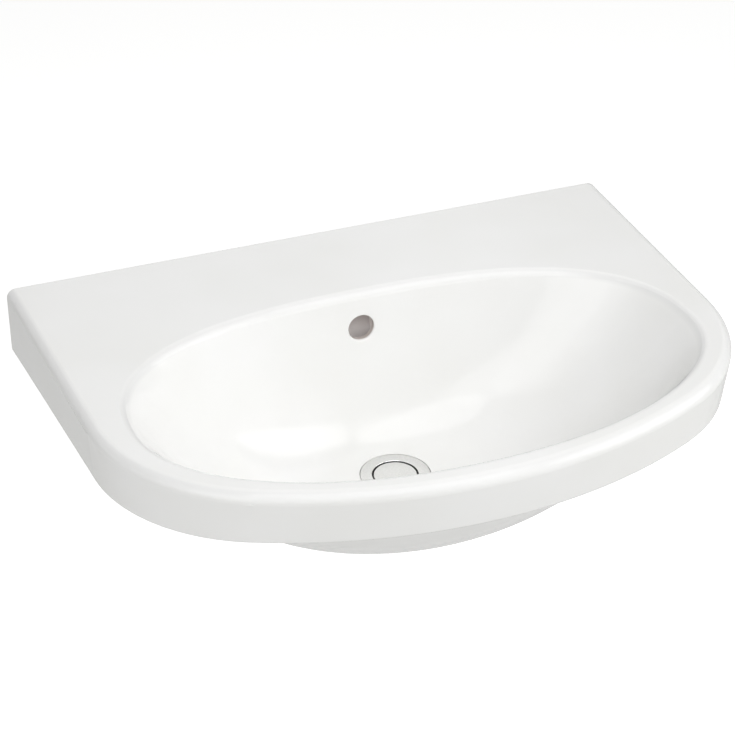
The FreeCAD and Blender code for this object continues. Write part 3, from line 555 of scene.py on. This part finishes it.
# Sizes and half sections are in millimetres. Each section lists (radius, height): on the
# waste's axis from the top of its flange, and on a wall bolt's axis from the wall's face.
THREAD_CREST = 20.955
THREAD_TOP, THREAD_FOOT = -58.5, -72.0
BARREL_BORE = 18.8
FLANGE_THROAT = 21.5
# Thread rows to each turn: enough for a ridge, its two flanks and its root.
WASTE_ROWS, SCREW_ROWS, MACHINE_ROWS = 10, 12, 6
# The flange with its rolled rim, and the barrel down to the relief above the thread.
FLANGE_SECTION = (
    (FLANGE_THROAT, -0.35), (FLANGE_THROAT + 0.35, 0), (31.4, 0), (32.1, -0.28),
    (32.45, -0.9), (32.5, -1.4), (32.5, -2.8), (32.3, -3), (22.7, -3), (22.7, -10),
    (THREAD_CREST, -10), (THREAD_CREST, -56), (20.055, -56), (20.055, THREAD_TOP + 0.01),
)
# The barrel's foot and the way back up its bore.
BORE_SECTION = (
    (19.755, THREAD_FOOT), (BARREL_BORE, THREAD_FOOT), (BARREL_BORE, -8), (FLANGE_THROAT, -4),
)
SLOT_WIDTH, SLOT_HEIGHT, SLOT_MIDDLE = 12, 13, -22
BAR_WIDTH, BAR_HEIGHT, BAR_MIDDLE = 3.5, 5, -52.5
BOSS_SECTION = ((2.1, -50), (7.5, -50), (7.5, -55), (2.1, -55))
SEAL_SECTION = (
    (21.255, -45), (31, -45), (33, -43), (33, -39), (22.7, -39), (22.4, -36), (21.255, -36),
)
WASHER_SECTION = ((21.255, -47), (31, -47), (31, -45), (21.255, -45))
NUT_SECTION = (
    (21.005, -47), (31.3, -47), (31.3, -54.6), (28.2, -56), (22, -56), (21.005, -55),
)
NUT_FLATS = 54
NUT_FLANGE_SECTION = ((21.005, -47), (30.67, -47), (30.67, -49.5), (21.005, -49.5))
PLUG_CROWN_RADIUS, PLUG_CROWN_STEPS = 19.1, 8
# The plug below its crown: the rim, the groove for its seal and the socket for its stem.
PLUG_SECTION = (
    (19.9, -0.85), (20, -1.2), (20, -3.2), (6, -3.2), (6, -8.2), (2.55, -8.2), (2.55, -4.8),
    (0, -4.8),
)
SCREW_RADIUS, MACHINE_RADIUS = 5.0, 4.925
SCREW_TIP, SCREW_TIP_LENGTH, SCREW_TOP = -60.0, 12.0, -5.0
# Half the width of the wood screw's ridge, as a share of its pitch.
SCREW_RIDGE = 0.17
MACHINE_DEPTH = 0.8
MACHINE_FOOT, STUD_END, STUD_CHAMFER = 1, 36, 1.2
BOLT_NUT_SECTION = (
    (4.975, 19), (9.2, 19), (9.9, 19.5), (9.9, 26.4), (8.9, 27), (5.4, 27), (4.975, 26.6),
)
BOLT_NUT_FLATS = 17
CAP_SECTION = (
    (0, 37.5), (10.6, 37.5), (10.6, 19), (12, 19), (12, 20.6), (11.8, 21), (11.6, 37.5),
    (9.4, 38.9), (0, 38.9),
)
CAP_ROUNDING, CAP_CROWN_ROUNDS = 0.4, {6: 1.2, 7: 1.4}


class BASIN_OT_casting(bpy.types.Operator):
    """Glaze the china casting"""

    bl_idname = "basin.casting"
    bl_label = "Casting"

    def execute(self, context):
        finish_node("basin", glazed_china(context.scene.basin_glaze))
        return {"FINISHED"}


class BASIN_OT_waste(bpy.types.Operator):
    """Turn the chromed waste with its flange, slots, cross bars and thread"""

    bl_idname = "basin.waste"
    bl_label = "Waste"

    def execute(self, context):
        settings = context.scene.basin_waste
        pitch = settings.thread_pitch

        def cut(radius, height, turn):
            on_crest = radius > THREAD_CREST - 0.055
            if not on_crest or not THREAD_FOOT - 0.01 < height < THREAD_TOP + 0.01:
                return 0
            phase = (height / pitch + turn) % 1
            # The thread runs out over its last third of a turn at each end.
            ends = min(THREAD_TOP - height, height - THREAD_FOOT) / pitch
            return settings.thread_depth * min(1, ends * 3) * abs(2 * phase - 1)

        rows = [
            (THREAD_CREST, height)
            for height in spaced(THREAD_TOP, THREAD_FOOT + 1.2, pitch / WASTE_ROWS)
        ]
        barrel = threaded(
            "waste_barrel", [*FLANGE_SECTION, *rows, *BORE_SECTION], WASTE_FRAME, cut,
            steps=96, closed=True,
        )
        # Two slots cut right through the wall make the four openings for the overflow.
        length = 60
        for size in ((SLOT_WIDTH, length, SLOT_HEIGHT), (length, SLOT_WIDTH, SLOT_HEIGHT)):
            slot = block("slot", size, (0, 0, SLOT_MIDDLE), WASTE_FRAME)
            combine(barrel, slot, "DIFFERENCE")
        # The cross bars end in the middle of the wall's thickness.
        length = BARREL_BORE + THREAD_CREST
        for size in ((BAR_WIDTH, length, BAR_HEIGHT), (length, BAR_WIDTH, BAR_HEIGHT)):
            bar = block("bar", size, (0, 0, BAR_MIDDLE), WASTE_FRAME)
            combine(barrel, bar, "UNION")
        boss = turned("boss", BOSS_SECTION, WASTE_FRAME, rounding=0.4, steps=48)
        combine(barrel, boss, "UNION")
        stands_for(barrel, ["waste_body"], "basin", chrome_plate())
        return {"FINISHED"}


class BASIN_OT_clamp(bpy.types.Operator):
    """Make the seals, the washer and the nut that clamp the waste"""

    bl_idname = "basin.clamp"
    bl_label = "Waste clamp"

    def execute(self, context):
        # Rubber from a steel mould: near black and dull.
        rubber = moulded(
            "moulded_rubber", "#1C1C1D", "#262627",
            roughness=0.62, grain_mm=0.7, grain_height=0.01,
        )
        # Brass left as it came off the lathe: yellow, with a satin shine.
        brass = turned_metal(
            "turned_brass", "#A98B4E", "#C2A566", roughness=0.30, mark_mm=0.35
        )
        # Polypropylene: off white and a little waxy.
        plastic = moulded(
            "moulded_polypropylene", "#E2E2DD", "#ECECE8",
            roughness=0.42, grain_mm=0.5, grain_height=0.006,
        )
        finish_node("flange_seal", rubber)
        seal = turned("tapered_seal", SEAL_SECTION, WASTE_FRAME, rounding=0.5)
        stands_for(seal, ["basin_seal"], "basin", rubber)
        washer = turned("slip_washer", WASHER_SECTION, WASTE_FRAME, rounding=0.35)
        stands_for(washer, ["clamp_washer"], "basin", plastic)
        nut = turned("clamping_nut", NUT_SECTION, WASTE_FRAME, rounding=0.15, steps=120)
        flats = hexagon_bar("flats", NUT_FLATS, foot=-60, top=-40, place=WASTE_FRAME)
        combine(nut, flats, "INTERSECT")
        flange = turned(
            "nut_flange", NUT_FLANGE_SECTION, WASTE_FRAME, rounding=0.5, steps=120
        )
        combine(nut, flange, "UNION")
        stands_for(nut, ["waste_nut"], "basin", brass)
        return {"FINISHED"}


class BASIN_OT_plug(bpy.types.Operator):
    """Turn the plug's disc and give the seal and stem their finishes"""

    bl_idname = "basin.plug"
    bl_label = "Plug"

    def execute(self, context):
        dome = context.scene.basin_waste.plug_dome
        # Flat in the middle and falling faster towards the rim.
        shares = [step / PLUG_CROWN_STEPS for step in range(PLUG_CROWN_STEPS + 1)]
        crown = [(PLUG_CROWN_RADIUS * share, -dome * share**3) for share in shares]
        shoulder = (PLUG_CROWN_RADIUS + 0.5, -dome - 0.25)
        disc = turned(
            "plug_disc", [*crown, shoulder, *PLUG_SECTION], WASTE_FRAME,
            rounding=0.12, closed=False,
        )
        chrome = bpy.data.materials["chrome_plated_brass"]
        stands_for(disc, ["plug_cap"], "plug", chrome)
        finish_node("plug_seal", bpy.data.materials["moulded_rubber"])
        finish_node("plug_stem", bpy.data.materials["turned_brass"])
        return {"FINISHED"}


class BASIN_OT_latch(bpy.types.Operator):
    """Give the latch's pieces their finishes"""

    bl_idname = "basin.latch"
    bl_label = "Plug latch"

    def execute(self, context):
        brass = bpy.data.materials["turned_brass"]
        # Drawn wire and a turned screw: neutral grey with a bright satin shine.
        steel = turned_metal(
            "drawn_stainless_steel", "#9C9C9A", "#B0B0AE", roughness=0.26, mark_mm=0.6
        )
        # Acetal: cream, hard and slippery, so smoother than the other plastic.
        acetal = moulded(
            "moulded_acetal", "#DAD5C6", "#E4E0D4",
            roughness=0.33, grain_mm=0.5, grain_height=0.004,
        )
        for node, material in (
            ("latch_sleeve", brass), ("latch_cap", brass), ("latch_cam", acetal),
            ("latch_spring", steel), ("cartridge_screw", steel),
        ):
            finish_node(node, material)
        return {"FINISHED"}


class BASIN_OT_fixings(bpy.types.Operator):
    """Cut the wall bolts' threads and finish their bushes, washers, nuts and covers"""

    bl_idname = "basin.fixings"
    bl_label = "Wall fixings"

    def execute(self, context):
        settings = context.scene.basin_fixings
        zinc = zinc_plate()
        plastic = bpy.data.materials["moulded_polypropylene"]
        core = settings.screw_core / 2

        def cut(radius, height, turn):
            if height < SCREW_TOP + 0.01:
                phase = (height / settings.screw_pitch + turn) % 1
                ridge = max(0.0, 1 - abs(phase - 0.5) / SCREW_RIDGE)
                taper = min(1.0, (height - SCREW_TIP) / SCREW_TIP_LENGTH)
                run_out = max(0.0, min(1.0, (SCREW_TOP - height) / settings.screw_pitch))
                return (SCREW_RADIUS - core) * taper * (1 - ridge) * run_out
            if height > MACHINE_FOOT:
                phase = (height / settings.machine_pitch + turn) % 1
                run_in = min(
                    1.0, (height - MACHINE_FOOT) / settings.machine_pitch,
                    (STUD_END - height) / STUD_CHAMFER,
                )
                return MACHINE_DEPTH * max(0.0, run_in) * abs(2 * phase - 1)
            return 0

        tip_top = SCREW_TIP + SCREW_TIP_LENGTH
        spacing = settings.screw_pitch / SCREW_ROWS
        rows = [(0, SCREW_TIP)]
        for height in spaced(SCREW_TIP, tip_top, spacing)[1:]:
            rows.append((SCREW_RADIUS * (height - SCREW_TIP) / SCREW_TIP_LENGTH, height))
        for height in spaced(tip_top, SCREW_TOP, spacing)[1:]:
            rows.append((SCREW_RADIUS, height))
        rows += [(SCREW_RADIUS, -0.3), (MACHINE_RADIUS, 0)]
        spacing = settings.machine_pitch / MACHINE_ROWS
        for height in spaced(MACHINE_FOOT, STUD_END - STUD_CHAMFER, spacing):
            rows.append((MACHINE_RADIUS, height))
        rows += [(MACHINE_RADIUS - STUD_CHAMFER, STUD_END), (0, STUD_END)]
        for side in SIDES:
            place = bolt_frame(side)
            stud = threaded("hanger_stud_" + side, rows, place, cut, steps=48, closed=False)
            stands_for(stud, ["hanger_bolt_" + side], "basin", zinc)
            nut = turned("hexagon_nut_" + side, BOLT_NUT_SECTION, place, rounding=0, steps=72)
            combine(nut, hexagon_bar("flats", BOLT_NUT_FLATS, 15, 30, place), "INTERSECT")
            stands_for(nut, ["bolt_nut_" + side], "basin", zinc)
            cover = turned(
                "nut_cap_" + side, CAP_SECTION, place, CAP_ROUNDING, closed=False,
                rounds=CAP_CROWN_ROUNDS,
            )
            stands_for(cover, ["nut_cover_" + side], "basin", plastic)
            finish_node("bolt_sleeve_" + side, plastic)
            finish_node("bolt_washer_" + side, zinc)
        return {"FINISHED"}


# ---------------------------------------------------------------- the stage

# Lamps: name, turn to the right of the front, height above the bowl in degrees, and watts.
LAMPS = (
    ("lamp_front_high", 0, 55, 18.2),
    ("lamp_right_high", 60, 55, 18.7),
    ("lamp_back_high", 180, 55, 10.9),
    ("lamp_front_right_low", 40, 22, 5.5),
    ("lamp_right_low", 60, 22, 20.2),
    ("lamp_left_low", 280, 22, 3.8),
    ("lamp_side_left_low", 300, 22, 9.2),
    ("lamp_front_left_low", 320, 22, 10.7),
)
# Lamps whose discs the glaze doesn't mirror in the bottom of the bowl.
UNMIRRORED = ("lamp_right_high", "lamp_back_high")
LAMP_DISTANCE = 2.5
LAMP_SIZE = 2.4
# Where the lamps point: the middle of the bowl.
AIM = Vector((0.0, -0.2, 0.03))
# Where the room's dark end begins in a reflection, and where it is full: how far to the
# right a direction points, as its X.
DARK_BEGINS, DARK_FULL = 0.36, 0.46
FLOOR_HALF_WIDTH = 12
PICTURE_PIXELS = 735
SENSOR_WIDTH = 36


class BASIN_OT_stage(bpy.types.Operator):
    """Set up the white surroundings, the floor, the lamps and the camera"""

    bl_idname = "basin.stage"
    bl_label = "Stage"

    def execute(self, context):
        settings = context.scene.basin_stage
        scene = context.scene
        self.make_world(scene, settings)
        self.make_floor(settings)
        for name, turn, height, power in LAMPS:
            self.make_lamp(name, math.radians(turn), math.radians(height), power)
        self.make_camera(scene, settings)
        scene.view_settings.view_transform = "Standard"
        return {"FINISHED"}

    def make_world(self, scene, settings):
        world = bpy.data.worlds.new("white_surroundings")
        world.use_nodes = True
        world.node_tree.nodes.clear()
        path = add_node(world, "ShaderNodeLightPath").outputs
        # The glaze mirrors white all round, but for the dark end of the room at the far right.
        direction = add_node(world, "ShaderNodeTexCoord").outputs["Generated"]
        right = add_node(world, "ShaderNodeSeparateXYZ", Vector=direction).outputs["X"]
        brightness = mapped(world, right, 1, settings.dark_end, DARK_BEGINS, DARK_FULL)
        mirrored = product(world, path["Is Glossy Ray"], brightness)
        seen = add_node(
            world, "ShaderNodeMath", {"operation": "MAXIMUM"},
            _0=path["Is Camera Ray"], _1=mirrored,
        ).outputs[0]
        strength = add_node(
            world, "ShaderNodeMapRange", Value=seen, To_Min=settings.ambient, To_Max=1.0
        ).outputs["Result"]
        light = add_node(
            world, "ShaderNodeBackground", Color=(1, 1, 1, 1), Strength=strength
        ).outputs[0]
        output = add_node(world, "ShaderNodeOutputWorld")
        world.node_tree.links.new(light, output.inputs["Surface"])
        scene.world = world

    def make_floor(self, settings):
        shape = bmesh.new()
        bmesh.ops.create_grid(shape, x_segments=1, y_segments=1, size=FLOOR_HALF_WIDTH)
        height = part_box("basin")[1].z - settings.floor_drop
        bmesh.ops.translate(shape, vec=(0, 0, height), verts=shape.verts[:])
        floor = finish_mesh(shape, "floor")
        material = bpy.data.materials.new("pale_floor")
        material.use_nodes = True
        material.node_tree.nodes.clear()
        matt = add_node(material, "ShaderNodeBsdfDiffuse", Color=linear(settings.floor_hex))
        seen = add_node(material, "ShaderNodeLightPath").outputs["Is Camera Ray"]
        glow = add_node(
            material, "ShaderNodeEmission", Color=(1, 1, 1, 1),
            Strength=mapped(material, seen, settings.floor_glow, settings.floor_seen, 0, 1),
        )
        both = add_node(material, "ShaderNodeAddShader", _0=matt.outputs[0], _1=glow.outputs[0])
        output = add_node(material, "ShaderNodeOutputMaterial")
        material.node_tree.links.new(both.outputs[0], output.inputs["Surface"])
        floor.data.materials.append(material)

    def make_lamp(self, name, turn, height, power):
        away = Vector((
            math.sin(turn) * math.cos(height), -math.cos(turn) * math.cos(height),
            math.sin(height),
        ))
        place = AIM + away * LAMP_DISTANCE
        data = bpy.data.lights.new(name, "AREA")
        data.shape = "DISK"
        data.size = LAMP_SIZE
        data.energy = power
        lamp = bpy.data.objects.new(name, data)
        lamp.location = place
        lamp.rotation_euler = (AIM - place).to_track_quat("-Z", "Y").to_euler()
        lamp.visible_glossy = name not in UNMIRRORED
        bpy.context.scene.collection.objects.link(lamp)

    def make_camera(self, scene, settings):
        data = bpy.data.cameras.new("camera")
        data.sensor_width = SENSOR_WIDTH
        data.lens = settings.focal_pixels / PICTURE_PIXELS * SENSOR_WIDTH
        data.clip_start, data.clip_end = 0.05, 60
        camera = bpy.data.objects.new("camera", data)
        camera.location = settings.camera_place
        camera.rotation_euler = (
            math.radians(90) - settings.camera_pitch, 0, -settings.camera_yaw
        )
        scene.collection.objects.link(camera)
        scene.camera = camera


class BASIN_PT_panel(bpy.types.Panel):
    """Lists the basin's pieces and their settings"""

    bl_label = "Wall hung basin"
    bl_idname = "BASIN_PT_panel"
    bl_space_type = "VIEW_3D"
    bl_region_type = "UI"
    bl_category = "Basin"

    def draw(self, context):
        for group, steps in PANEL_ROWS:
            box = self.layout.box()
            settings = getattr(context.scene, group)
            for name in settings.__annotations__:
                box.prop(settings, name)
            for step in steps:
                box.operator(step.bl_idname)


PANEL_ROWS = (
    ("basin_glaze", (BASIN_OT_casting,)),
    ("basin_waste", (BASIN_OT_waste, BASIN_OT_clamp, BASIN_OT_plug, BASIN_OT_latch)),
    ("basin_fixings", (BASIN_OT_fixings,)),
    ("basin_stage", (BASIN_OT_stage,)),
)
GROUPS = (
    ("basin_glaze", GlazeSettings), ("basin_waste", WasteSettings),
    ("basin_fixings", FixingSettings), ("basin_stage", StageSettings),
)
OPERATORS = tuple(step for group, steps in PANEL_ROWS for step in steps)


def register():
    """Add the basin's settings, steps and panel."""
    for name, group in GROUPS:
        bpy.utils.register_class(group)
        setattr(bpy.types.Scene, name, bpy.props.PointerProperty(type=group))
    for step in OPERATORS:
        bpy.utils.register_class(step)
    bpy.utils.register_class(BASIN_PT_panel)


def unregister():
    """Take them out again."""
    bpy.utils.unregister_class(BASIN_PT_panel)
    for step in reversed(OPERATORS):
        bpy.utils.unregister_class(step)
    for name, group in reversed(GROUPS):
        delattr(bpy.types.Scene, name)
        bpy.utils.unregister_class(group)


def main():
    """Make every piece and the stage."""
    register()
    for step in OPERATORS:
        family, name = step.bl_idname.split(".")
        getattr(getattr(bpy.ops, family), name)()


if __name__ == "__main__":
    main()
